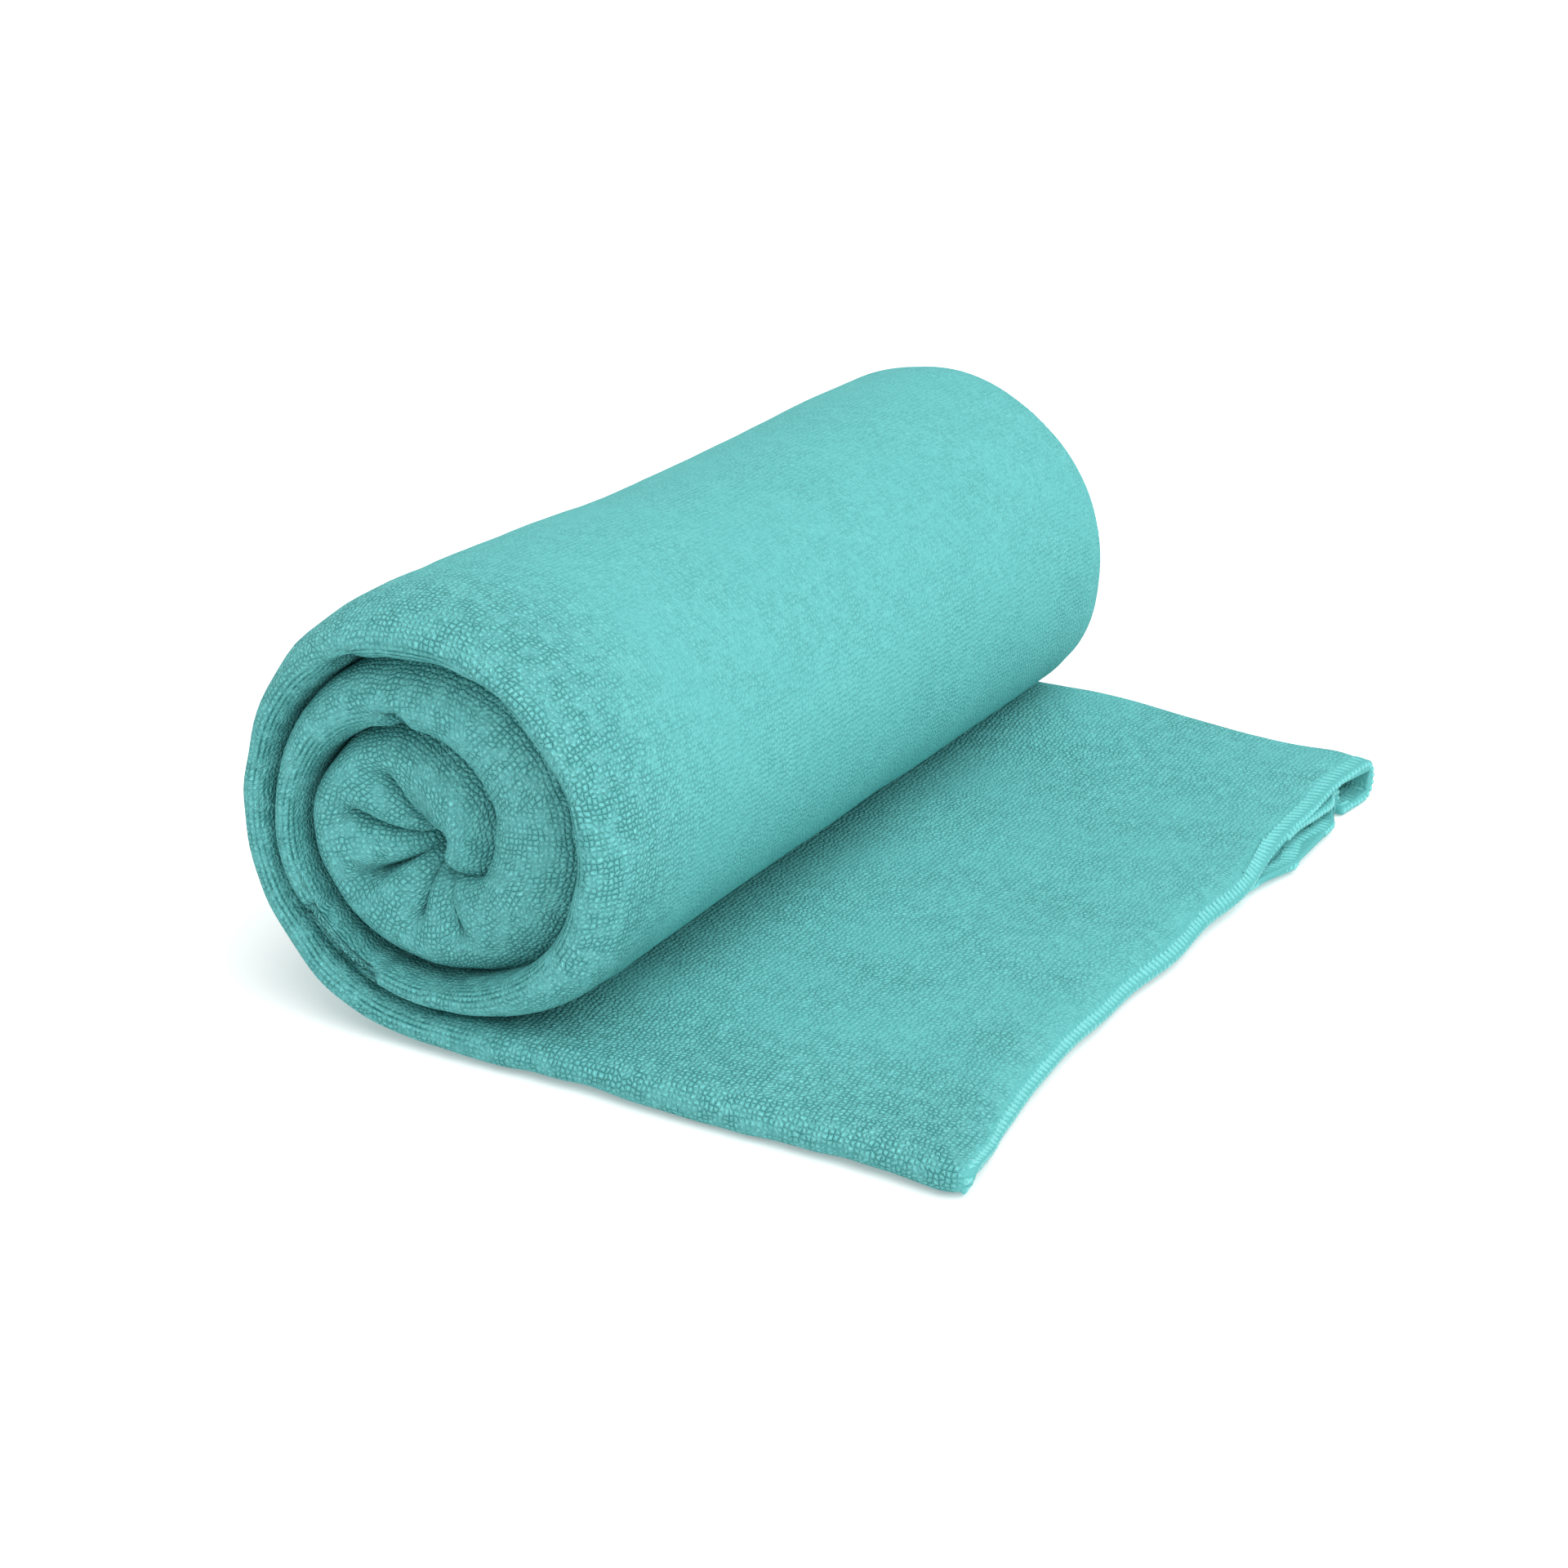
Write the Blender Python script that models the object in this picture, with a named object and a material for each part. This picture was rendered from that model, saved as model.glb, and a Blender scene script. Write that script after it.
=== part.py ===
"""A quick dry towel, folded once along its length, rolled up, with its loose end lying flat.

The folded cloth is a strip of two plies. It lies along X, and the roll's axis lies along Y.
The strip's near edge, at -Y, is the fold itself. Its far edge, at +Y, is where the cut margins
are tucked in. Seen from the near end the cloth runs from the loose end under the roll, up its
left side, over the top and down the right, and goes on inwards like that to the core.

The loose end turns about a line across the strip just clear of the roll, where it is lifted.
Lengths are in metres, +Z is up, and the origin is under the middle of the whole towel.
"""

import math

import bmesh
import bpy
from mathutils import Vector

# The cloth
STRIP_WIDTH = 0.235
PLY_THICKNESS = 0.00375
HEM_WIDTH = 0.0045

# The roll
CORE_RADIUS = 0.0069
CORE_TIP_RADIUS = 0.0015
CORE_ROUNDING = 0.003
TURN_NAMES = ("outer_turn", "second_turn", "third_turn", "fourth_turn", "fifth_turn")
STEP_DOWN_START = math.radians(250)

# The loose end, from the roll's right side outwards
LOOSE_LENGTH_NEAR = 0.078
LOOSE_LENGTH_FAR = 0.0671
LIFT_LINE_OUT = 0.010
CORNER_RADIUS = 0.003

# How finely the round shapes are cut
TURN_STEPS = 36
FOLD_STEPS = 6
CORNER_STEPS = 4

# Touching pieces are kept this far apart
GAP = 0.0003

STRIP_THICKNESS = 2 * PLY_THICKNESS + GAP
PITCH = STRIP_THICKNESS + GAP
ROLL_RADIUS = CORE_RADIUS + len(TURN_NAMES) * PITCH
FOLD_RADIUS = STRIP_THICKNESS / 2
NEAR_Y = -STRIP_WIDTH / 2
FAR_Y = STRIP_WIDTH / 2
AXIS_X = -max(LOOSE_LENGTH_NEAR, LOOSE_LENGTH_FAR) / 2
LIFT_X = AXIS_X + ROLL_RADIUS + LIFT_LINE_OUT

TERRY = ("terry", (0.13, 0.56, 0.55, 1.0), 0.9)
THREAD = ("hem_thread", (0.24, 0.68, 0.67, 1.0), 0.7)


def clear_scene():
    for obj in list(bpy.data.objects):
        bpy.data.objects.remove(obj)


def material(name, colour, roughness):
    made = bpy.data.materials.new(name)
    made.use_nodes = True
    shader = made.node_tree.nodes["Principled BSDF"]
    shader.inputs["Base Color"].default_value = colour
    shader.inputs["Roughness"].default_value = roughness
    shader.inputs["Metallic"].default_value = 0.0
    return made


def loft(name, rings, finish, parent):
    """A closed solid through rings of points, each ring with as many points as the next."""
    mesh = bmesh.new()
    rows = [[mesh.verts.new(Vector(point) - parent.location) for point in ring] for ring in rings]
    count = len(rows[0])
    for row, following in zip(rows, rows[1:]):
        for i in range(count):
            j = (i + 1) % count
            mesh.faces.new((row[i], row[j], following[j], following[i]))
    mesh.faces.new(rows[0])
    mesh.faces.new(rows[-1])
    bmesh.ops.recalc_face_normals(mesh, faces=mesh.faces)
    data = bpy.data.meshes.new(name)
    mesh.to_mesh(data)
    mesh.free()
    data.shade_smooth()
    data.set_sharp_from_angle(angle=math.radians(50))
    data.materials.append(finish)
    made = bpy.data.objects.new(name, data)
    made.parent = parent
    bpy.context.scene.collection.objects.link(made)
    return made


def hold(name, x, z):
    """An empty that carries one body's pieces."""
    made = bpy.data.objects.new(name, None)
    made.location = (x, 0, z)
    bpy.context.scene.collection.objects.link(made)
    return made


def surface_radius(winding):
    """How far the cloth's outer face is from the roll's axis, after this much winding from the bottom.

    Each turn keeps one radius until it nears the bottom again, and then steps down one pitch
    to pass inside the turn before it. The core steps down to its tip instead.
    """
    turn, angle = divmod(winding, math.tau)
    share = max(0.0, (angle - STEP_DOWN_START) / (math.tau - STEP_DOWN_START))
    ease = share * share * (3 - 2 * share)
    radius = ROLL_RADIUS - turn * PITCH
    if turn < len(TURN_NAMES):
        return radius - PITCH * ease
    return CORE_RADIUS - (CORE_RADIUS - CORE_TIP_RADIUS) * ease


def roll_point(radius, winding, y):
    """A point of the roll: the winding goes from the bottom to -X, over the top and down at +X."""
    x = AXIS_X - radius * math.sin(winding)
    z = ROLL_RADIUS - radius * math.cos(winding)
    return Vector((x, y, z))


def turn_ring(winding, inner, shift):
    """The strip's section at one place on a turn: round at the near fold, square at the far edge."""
    outer = surface_radius(winding - 1e-9)
    fold = (outer - inner) / 2
    middle = (outer + inner) / 2
    section = [(outer, FAR_Y), (inner, FAR_Y)]
    for i in range(FOLD_STEPS + 1):
        turned = math.pi * i / FOLD_STEPS
        section.append((middle - fold * math.cos(turned), NEAR_Y + fold - fold * math.sin(turned)))
    return [roll_point(radius, winding, y) + Vector((shift, 0, 0)) for radius, y in section]


def make_turn(number, name, finish, parent):
    """One turn of the strip, whose inner face clears the next turn's outer face."""
    rings = []
    for step in range(TURN_STEPS + 1):
        winding = math.tau * (number + step / TURN_STEPS)
        last = step == TURN_STEPS
        inner = surface_radius(winding + math.tau - 1e-9 * last) + GAP
        shift = GAP / 2 if last else 0.0
        if step == 0:
            shift = -GAP / 2
            winding += 2e-9
        rings.append(turn_ring(winding, inner, shift))
    loft(name, rings, finish, parent)


def make_core(finish, parent):
    """The first fold of the rolled strip, which fills the middle and steps down to a tip below."""
    first = math.tau * len(TURN_NAMES)
    middle = Vector((AXIS_X, 0, ROLL_RADIUS))
    outline = []
    for step in range(TURN_STEPS + 1):
        winding = first + math.tau * step / TURN_STEPS
        last = step == TURN_STEPS
        point = roll_point(surface_radius(winding - 1e-9 * last), winding, 0)
        outline.append(point + Vector((-GAP / 2, 0, 0)) * (last or step == 0))
    rings = []
    for y, inset in ((NEAR_Y, CORE_ROUNDING), (NEAR_Y + CORE_ROUNDING, 0.0), (FAR_Y, 0.0)):
        keep = 1 - inset / CORE_RADIUS
        rings.append([middle + (point - middle) * keep + Vector((0, y, 0)) for point in outline])
    loft("core_fold", rings, finish, parent)


def end_x(y):
    """Where the loose edge is, at this place across the strip: it is a little askew."""
    share = (y - NEAR_Y) / STRIP_WIDTH
    return AXIS_X + ROLL_RADIUS + LOOSE_LENGTH_NEAR + share * (LOOSE_LENGTH_FAR - LOOSE_LENGTH_NEAR)


def ply_section(start, end, lower, rounded):
    """A ply seen from the near end, as (x, z): its start is a quarter round or square."""
    height = STRIP_THICKNESS / 2 - GAP / 2
    near_z = STRIP_THICKNESS / 2 + GAP / 2
    section = [(end, near_z), (start, near_z)]
    if rounded:
        reach = FOLD_RADIUS
        section = [(end, near_z)]
        for i in range(CORNER_STEPS + 1):
            turned = math.pi / 2 * i / CORNER_STEPS
            x = start - reach * math.cos(turned)
            section.append((x, near_z + height * math.sin(turned)))
    else:
        section.append((start, near_z + height))
    section.append((end, near_z + height))
    if lower:
        section = [(x, STRIP_THICKNESS - z) for x, z in section]
    return section


def make_ply(name, start, end, lower, rounded, finish, parent):
    """One flat ply between the near fold and the far fold, ending where end(y) says."""
    rings = []
    for y in (NEAR_Y + FOLD_RADIUS + GAP, FAR_Y - FOLD_RADIUS - GAP):
        rings.append([(x, y, z) for x, z in ply_section(start, end(y), lower, rounded)])
    loft(name, rings, finish, parent)


def fold_ring(x, radius, inset, edge_y, side):
    """The side fold's section at one place: half a disc, cut back by the inset at a corner."""
    inner_y = edge_y - side * FOLD_RADIUS
    ring = []
    for i in range(FOLD_STEPS + 1):
        turned = math.pi * i / FOLD_STEPS
        out = max(radius * math.sin(turned) - inset, 0.0)
        if i in (0, FOLD_STEPS):
            out = 0.0
        ring.append((x, inner_y + side * out, FOLD_RADIUS - radius * math.cos(turned)))
    return ring


def make_side_fold(name, start, end, rounded, corner, edge_y, side, finish, parent):
    """The rounded edge of the flat strip: half a rod, with a round nose where the strip lifts."""
    rings = []
    if rounded:
        for i in range(1, CORNER_STEPS):
            turned = math.pi / 2 * i / CORNER_STEPS
            x = start - FOLD_RADIUS * math.cos(turned)
            rings.append(fold_ring(x, FOLD_RADIUS * math.sin(turned), 0.0, edge_y, side))
    rings.append(fold_ring(start, FOLD_RADIUS, 0.0, edge_y, side))
    for i in range(CORNER_STEPS + 1):
        turned = math.pi / 2 * i / CORNER_STEPS
        x = end - corner * (1 - math.sin(turned))
        if corner or i == CORNER_STEPS:
            rings.append(fold_ring(x, FOLD_RADIUS, corner * (1 - math.cos(turned)), edge_y, side))
    loft(name, rings, finish, parent)


def make_hem(name, lower, finish, parent):
    """The overlocked edge of one ply: a flattened bar of thread along the loose edge."""
    half = (STRIP_THICKNESS - GAP) / 4
    middle_z = STRIP_THICKNESS - half
    if lower:
        middle_z = half
    rings = []
    for y in (NEAR_Y + FOLD_RADIUS + GAP, FAR_Y - FOLD_RADIUS - GAP):
        ring = []
        for i in range(2 * FOLD_STEPS):
            turned = math.tau * (i + 0.5) / (2 * FOLD_STEPS)
            x = end_x(y) - HEM_WIDTH / 2 + HEM_WIDTH / 2 * math.cos(turned)
            ring.append((x, y, middle_z + half * math.sin(turned)))
        rings.append(ring)
    loft(name, rings, finish, parent)


def make_roll(terry):
    roll = hold("roll_frame", AXIS_X, ROLL_RADIUS)
    for number, name in enumerate(TURN_NAMES):
        make_turn(number, name, terry, roll)
    make_core(terry, roll)
    start = AXIS_X + GAP
    stop = LIFT_X - FOLD_RADIUS - GAP
    make_ply("root_top_ply", start, lambda y: stop, False, False, terry, roll)
    make_ply("root_bottom_ply", start, lambda y: stop, True, False, terry, roll)
    make_side_fold("root_near_fold", start, stop, False, 0.0, NEAR_Y, -1, terry, roll)
    make_side_fold("root_far_fold", start, stop, False, 0.0, FAR_Y, 1, terry, roll)


def make_loose_end(terry, thread):
    loose = hold("lift_line", LIFT_X, STRIP_THICKNESS / 2)

    def ply_end(y):
        return end_x(y) - HEM_WIDTH - GAP

    make_ply("loose_top_ply", LIFT_X, ply_end, False, True, terry, loose)
    make_ply("loose_bottom_ply", LIFT_X, ply_end, True, True, terry, loose)
    near, far = end_x(NEAR_Y), end_x(FAR_Y)
    make_side_fold("loose_near_fold", LIFT_X, near, True, CORNER_RADIUS, NEAR_Y, -1, terry, loose)
    make_side_fold("loose_far_fold", LIFT_X, far, True, CORNER_RADIUS, FAR_Y, 1, terry, loose)
    make_hem("end_hem_top", False, thread, loose)
    make_hem("end_hem_bottom", True, thread, loose)


def main():
    clear_scene()
    terry = material(*TERRY)
    thread = material(*THREAD)
    make_roll(terry)
    make_loose_end(terry, thread)
    bpy.context.view_layer.update()


main()
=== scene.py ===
"""Looks for a quick dry towel, folded once along its length and rolled up on its flat loose end.

The towel is one sheet of terry. It is made here as one closed mesh: a section across the folded
strip, carried along the loose end and then round the roll. Every station of that run is named by
its winding: -1 at the loose edge, 0 where the strip meets the roll's bottom, and then one for
each turn inwards. A point of the section is named by its place across the strip and by its depth
in from the strip's outer face, which is its height above the ground on the loose end.

Lengths are in metres.
"""

import math

import bpy
import numpy as np
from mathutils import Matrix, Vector, noise


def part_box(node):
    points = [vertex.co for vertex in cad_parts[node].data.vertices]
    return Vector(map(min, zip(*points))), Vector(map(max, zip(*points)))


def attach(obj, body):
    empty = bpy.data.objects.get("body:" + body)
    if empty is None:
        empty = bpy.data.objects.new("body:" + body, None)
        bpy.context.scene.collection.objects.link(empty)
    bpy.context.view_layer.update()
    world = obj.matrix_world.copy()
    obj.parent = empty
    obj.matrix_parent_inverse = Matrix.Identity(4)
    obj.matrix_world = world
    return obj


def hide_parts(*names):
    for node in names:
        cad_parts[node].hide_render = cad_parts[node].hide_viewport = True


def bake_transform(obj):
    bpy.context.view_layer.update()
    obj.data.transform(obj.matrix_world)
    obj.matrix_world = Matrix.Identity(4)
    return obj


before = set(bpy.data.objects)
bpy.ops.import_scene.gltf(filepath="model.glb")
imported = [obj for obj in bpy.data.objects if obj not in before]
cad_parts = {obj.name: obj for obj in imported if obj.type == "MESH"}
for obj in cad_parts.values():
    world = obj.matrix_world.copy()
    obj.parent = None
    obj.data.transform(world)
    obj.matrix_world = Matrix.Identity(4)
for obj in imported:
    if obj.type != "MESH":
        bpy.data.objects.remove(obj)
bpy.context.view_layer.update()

# Places taken from the frame
ROLL_LOW, ROLL_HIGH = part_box("outer_turn")
ROLL_RADIUS = ROLL_HIGH.z / 2
AXIS_X = ROLL_LOW.x + ROLL_RADIUS
NEAR_Y = ROLL_LOW.y
FAR_Y = ROLL_HIGH.y
WIDTH = FAR_Y - NEAR_Y
STRIP_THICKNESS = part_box("root_top_ply")[1].z
REACH_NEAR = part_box("loose_near_fold")[1].x - AXIS_X
REACH_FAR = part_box("loose_far_fold")[1].x - AXIS_X
PITCH = STRIP_THICKNESS + 0.0003

# The cloth
PLY = 0.0033
NUB_PITCH = 0.00122
CLEARANCE = 0.0002

# The overlock: how far a stitch reaches in from the edge and out over it, how high its thread stands
# off the cloth's middle, how far its ends are aside, and the thread's radius
HEM_WIDTH = 0.0040
STITCH_PITCH = 0.0017
STITCH_OUT = 0.0012
STITCH_HEIGHT = 0.00075
STITCH_SLANT = 0.00030
THREAD_RADIUS = 0.00066

# The roll's near end: radius of the cloth's outer face after so many turns, in millimetres
NEAR_WINDING = (0.0, 0.04, 0.10, 0.15, 0.20, 0.25, 0.30, 0.36, 0.42, 0.50, 0.72, 0.80, 0.86, 0.91, 0.96,
                1.00, 1.05, 1.10, 1.16, 1.22, 1.28, 1.33, 1.38, 1.42, 1.46, 1.50, 1.55, 1.61, 1.67, 1.73,
                1.79, 1.84, 1.89, 1.95, 2.00, 2.05, 2.10, 2.16, 2.25, 2.33, 2.40, 2.46, 2.53, 2.60, 2.66,
                2.72, 2.80, 2.86, 2.91, 2.95, 3.00, 3.45, 3.55, 6.0)
NEAR_RADIUS = (47.4, 47.7, 48.4, 48.3, 47.4, 46.9, 46.8, 46.9, 47.2, 47.4, 47.4, 47.2, 45.6, 42.8, 40.6,
               39.5, 39.7, 39.6, 39.7, 39.6, 39.6, 39.7, 39.5, 38.6, 38.0, 37.6, 39.6, 40.5, 39.8, 37.8,
               35.0, 33.6, 32.8, 32.6, 32.8, 33.3, 33.6, 33.8, 33.0, 28.9, 25.2, 21.6, 19.4, 16.8, 14.8,
               12.4, 10.8, 10.8, 7.0, 4.0, 1.4, 1.2, 1.5, 3.0)
# How far in from the near end the loose winding reaches, and the number of turns
NEAR_ZONE = 0.028
TURNS = 4.95
# Where the hole in the bunched middle lies, from the roll's axis, in x and z
HOLE = (-0.0015, -0.0035)
# The loose edge, from a straight line between its corners: (share of the width, millimetres outwards)
UPPER_EDGE = ((0.0, 1.6), (0.04, 0.4), (0.09, -2.0), (0.17, -5.0), (0.26, -5.1), (0.35, -5.6),
              (0.45, -4.2), (0.58, -2.6), (0.68, -2.0), (0.80, -2.2), (0.93, 0.2), (1.0, 1.4))
LOWER_EDGE = ((0.0, 1.6), (0.04, -2.0), (0.09, -8.0), (0.35, -11.0), (0.58, -8.0), (0.66, -3.6),
              (0.72, -0.6), (0.79, 0.9), (0.86, 0.2), (0.93, -1.2), (1.0, -3.0))
# Where the bunched middle is creased towards its hole: (turns, depth, half width in turns)
CREASES = ((1.945, 0.0030, 0.014), (2.035, 0.0050, 0.018), (2.145, 0.0100, 0.022),
           (2.262, 0.0080, 0.022), (2.385, 0.0070, 0.024))
# Where a turn's inner side is pinched: (turns, depth, half width in turns)
PINCHES = ((0.425, 0.0090, 0.014), (0.575, 0.0035, 0.012), (1.455, 0.0070, 0.014),
           (0.985, 0.0030, 0.012))
# How far the near fold stands back from the near end: (turns, millimetres)
RECESS = ((0.92, 0.0), (1.35, 0.8), (1.75, 4.4), (2.0, 4.4), (2.25, 2.6), (2.45, 4.6), (2.60, 6.2),
          (2.83, 6.4), (2.97, 26.0))
# How far the roll's far end narrows, and over what length
FAR_DROP = 0.0040
FAR_DROP_LENGTH = 0.014
# The tucked-in far margins of the two plies: the radius they turn round, and their lengths
UPPER_CURL_RADIUS = 0.0041
LOWER_CURL_RADIUS = 0.0021
UPPER_MARGIN = 0.0235
LOWER_MARGIN = 0.0400
FLAT_MARGIN = 0.0006
# How much further in than the upper ply the lower one turns
LOWER_SET_BACK = 0.0115

# How finely the section is divided: the near fold, each flat ply, and the two tucked-in margins
FOLD_STEPS = 33
FLAT_STEPS = 52
UPPER_CURL_STEPS = 18
LOWER_CURL_STEPS = 16

# How fine the noises are, in waves to the metre, from single fibres to broad drifts of colour
PILE_FIBRES = 2600.0
THREAD_FIBRES = 2200.0
TUFTS = 900.0
WANDER = 420.0
PARTINGS = 260.0
DRIFTS = 55.0
# How high the loops, the tufts and the fibres stand
LOOP_HEIGHT = 0.00062
TUFT_HEIGHT = 0.00040
FIBRE_HEIGHT = 0.00008
STRAND_HEIGHT = 0.0002

# The colours: the pile's loops, with a painted-shade copy for their low tufts, its brushed velvet, the
# painted shade in the gaps between loops, and the thread
LOOPS_DEEP = (0.190, 0.620, 0.612, 1.0)
LOOPS_PALE = (0.218, 0.675, 0.666, 1.0)
LOOPS_SHADED = (0.136, 0.500, 0.493, 1.0)
VELVET = (0.112, 0.420, 0.414, 1.0)
GAP_SHADE = (0.007, 0.130, 0.127, 1.0)
SHEEN = (0.20, 0.80, 0.79, 1.0)
THREAD_DEEP = (0.140, 0.520, 0.513, 1.0)
THREAD_PALE = (0.195, 0.640, 0.632, 1.0)
WHITE = (1.0, 1.0, 1.0, 1.0)

# The stage: the light, and the camera and its aim, from the roll's axis
FLOOR_HALF_SIDE = 6.0
FLOOR_DROP = 0.0004
FLOOR_GREY = (0.85, 0.85, 0.85, 1.0)
FLOOR_GLOW = 0.26
ROOM_LIGHT = 0.70
LIGHT_STRENGTH = 2.42
LIGHT_SPREAD = math.radians(60)
LIGHT_FROM = (0.62, -0.27, 1.0)
LENS = 84.4
CAMERA_AT = (0.4106, -0.6686, 0.3412)
CAMERA_AIM = (0.0132, 0.0077, 0.0191)


def smooth(low, high, value):
    share = np.clip((np.asarray(value, float) - low) / (high - low), 0.0, 1.0)
    return share * share * (3 - 2 * share)


def mix(low, high, share):
    return low + (high - low) * share


def bell(centre, width, value):
    return np.exp(-(((np.asarray(value, float) - centre) / width) ** 2))


# ---------------------------------------------------------------- the run of the strip

def roll_radius(y):
    """The roll's outer radius along its axis: a little slack near the middle, full near both ends."""
    share = (y - NEAR_Y) / WIDTH
    waist = 0.0005 * np.sin(2 * np.pi * (share - 0.1))
    return mix(ROLL_RADIUS - 0.0004, ROLL_RADIUS - 0.0018, share) - waist


def near_radius(winding):
    """The outer face's radius at the near end, smoothed between the values above."""
    shifts = (-0.02, -0.01, 0.0, 0.01, 0.02)
    total = sum(np.interp(winding + shift, NEAR_WINDING, NEAR_RADIUS) for shift in shifts)
    return total / len(shifts) / 1000


def deep_radius(winding, y):
    """The outer face's radius away from the near end: it steps down one pitch before each turn ends."""
    turn = np.floor(winding)
    ease = smooth(0.79, 1.0, winding - turn)
    return np.maximum(roll_radius(y) - PITCH * (turn + ease), 0.0008)


def outer_radius(winding, y):
    """The outer face's radius anywhere: loosely wound at the near end, tight and even beyond it."""
    hidden = 0.007 * smooth(1.8, 2.1, winding) + 0.017 * smooth(2.85, 3.0, winding)
    near = 1 - smooth(hidden, hidden + NEAR_ZONE, y - NEAR_Y)
    share = (y - NEAR_Y) / WIDTH
    radius = mix(deep_radius(winding, y), near_radius(winding) + roll_radius(y) - ROLL_RADIUS, near)
    radius = radius - FAR_DROP * smooth(0.0, 0.015, y - (FAR_Y - FAR_DROP_LENGTH)) ** 2
    towards_end = np.clip(1 - (y - NEAR_Y) / 0.020, 0.0, 1.0)
    shoulder = 0.0018 * towards_end ** 2 * smooth(0.10, 0.30, winding)
    loft = 0.0040 * bell(0.18, 0.27, share) * bell(0.47, 0.16, winding)
    return np.maximum(radius - shoulder + loft, 0.0006)


def edge_shape(control, share):
    places, values = zip(*control)
    shifts = (-0.03, -0.015, 0.0, 0.015, 0.03)
    return sum(np.interp(share + shift, places, values) for shift in shifts) / len(shifts) / 1000


def loose_reach(y, top):
    """How far the loose edge is from the roll's axis, for the upper or the lower ply."""
    share = (y - NEAR_Y) / WIDTH
    straight = mix(REACH_NEAR, REACH_FAR, share)
    ruffle = 0.0005 * np.sin(2 * np.pi * 6.3 * share + 0.6) * smooth(0.2, 0.4, share)
    hem_wave = 0.0017 * np.sin(2 * np.pi * 9.5 * share + 0.4) * smooth(0.68, 0.76, share)
    upper = straight + edge_shape(UPPER_EDGE, share) + ruffle
    lower = straight + edge_shape(LOWER_EDGE, share) + hem_wave
    return mix(lower, upper, top)


def near_inset(winding):
    """How far the near fold stands back from a straight line along the loose end."""
    return 0.0010 * smooth(-0.95, -0.70, winding) * (1 - smooth(-0.30, 0.0, winding))


def loose_lift(winding, y):
    """How high the loose end's underside stands off the ground, towards its edge."""
    share = (y - NEAR_Y) / WIDTH
    edge = smooth(-0.80, -1.0, winding)
    wave = 0.0009 * bell(0.26, 0.10, share) + 0.0010 * bell(0.60, 0.10, share)
    wave = wave + 0.0008 * bell(0.80, 0.05, share)
    return edge * wave


def strip_depth(winding, y):
    """The folded strip's thickness: on the roll it is what lies between one turn and the next."""
    wound = np.maximum(winding, 0.0)
    on_roll = outer_radius(wound, y) - outer_radius(wound + 1, y) - CLEARANCE
    if winding >= 0:
        return on_roll
    return mix(STRIP_THICKNESS + CLEARANCE, on_roll, smooth(-0.34, 0.0, winding))


def drooped(winding, y, depth):
    """The upper ply's depth near the loose edge, where it falls over the edge of the lower one."""
    share = (y - NEAR_Y) / WIDTH
    held_up = smooth(0.62, 0.80, share)
    fall = np.clip((-winding - 0.925) / 0.075, 0.0, 1.0)
    low = PLY * mix(1.15, 0.45, smooth(0.02, 0.09, share))
    return mix(low + (depth - low) * np.sqrt(1 - 0.98 * fall * fall), depth, held_up)


def place(winding, y, depth, top):
    """Points in the row's frame for one station, from their places across the strip and their depths."""
    if winding < 0:
        x = AXIS_X - winding * loose_reach(y, top)
        z = depth + loose_lift(winding, y)
        return np.stack([x, y, z], axis=1)
    radius = outer_radius(winding, y) - depth
    turned = 2 * np.pi * winding
    gathered = (1 - smooth(0.005, 0.024, radius)) * (1 - smooth(0.012, 0.040, y - NEAR_Y))
    lean = 0.0016 * smooth(0.0, WIDTH, y - NEAR_Y) * (1 - abs(math.cos(math.pi * min(winding, 0.5))))
    x = AXIS_X - radius * math.sin(turned) + HOLE[0] * gathered - lean
    z = roll_radius(y) - radius * math.cos(turned) + HOLE[1] * gathered
    return np.stack([x, y, z], axis=1)


# ---------------------------------------------------------------- the section across the strip

def rim_recess(winding):
    """How far the near fold stands back from the near end: most turns lie deeper than the last."""
    places, values = zip(*RECESS)
    shifts = (-0.03, 0.0, 0.03)
    total = sum(np.interp(winding + shift, places, values) for shift in shifts)
    return total / len(shifts) / 1000


def listed(places, winding):
    """The depth of the listed creases or pinches at one winding."""
    return sum(depth * bell(turns, width, winding) for turns, depth, width in places)


def near_fold(winding, steps):
    """The near fold as (across, depth, share of the depth), from the outer ply to the inner one."""
    bunched = smooth(1.86, 2.02, winding) * (1 - smooth(2.42, 2.56, winding))
    tongue = smooth(2.42, 2.56, winding) * (1 - smooth(2.84, 2.96, winding))
    deep = smooth(2.84, 2.96, winding)
    flat = 1 - smooth(-0.12, 0.30, winding)
    crest = 0.5 - 0.31 * bunched
    rise_out = mix(mix(mix(0.0092, 0.0105, bunched + tongue), 0.0025, deep), 0.0030, flat)
    rise_in = mix(mix(mix(mix(0.0100, 0.0180, bunched), 0.0100, tongue), 0.0025, deep), 0.0048, flat)
    turned = np.pi * np.linspace(0, 1, steps)
    outwards = turned <= np.pi / 2
    share = np.where(outwards, crest * (1 - np.cos(turned)), crest + (1 - crest) * -np.cos(turned))
    rise = np.where(outwards, rise_out, rise_in) * (1 - np.sin(turned))
    creased = listed(CREASES, winding) * smooth(0.12, 0.55, share)
    pinched = listed(PINCHES, winding) * smooth(0.45, 0.75, share)
    distance = (1 + winding) * REACH_NEAR
    corner = 0.0038
    round_off = corner - math.sqrt(corner ** 2 - max(corner - distance, 0.0) ** 2)
    y = NEAR_Y + PLY / 2 + rim_recess(winding) + rise + creased + pinched + round_off
    y = y + near_inset(winding)
    thickness = strip_depth(winding, y) - PLY
    return y, PLY / 2 + share * thickness, share


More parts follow.
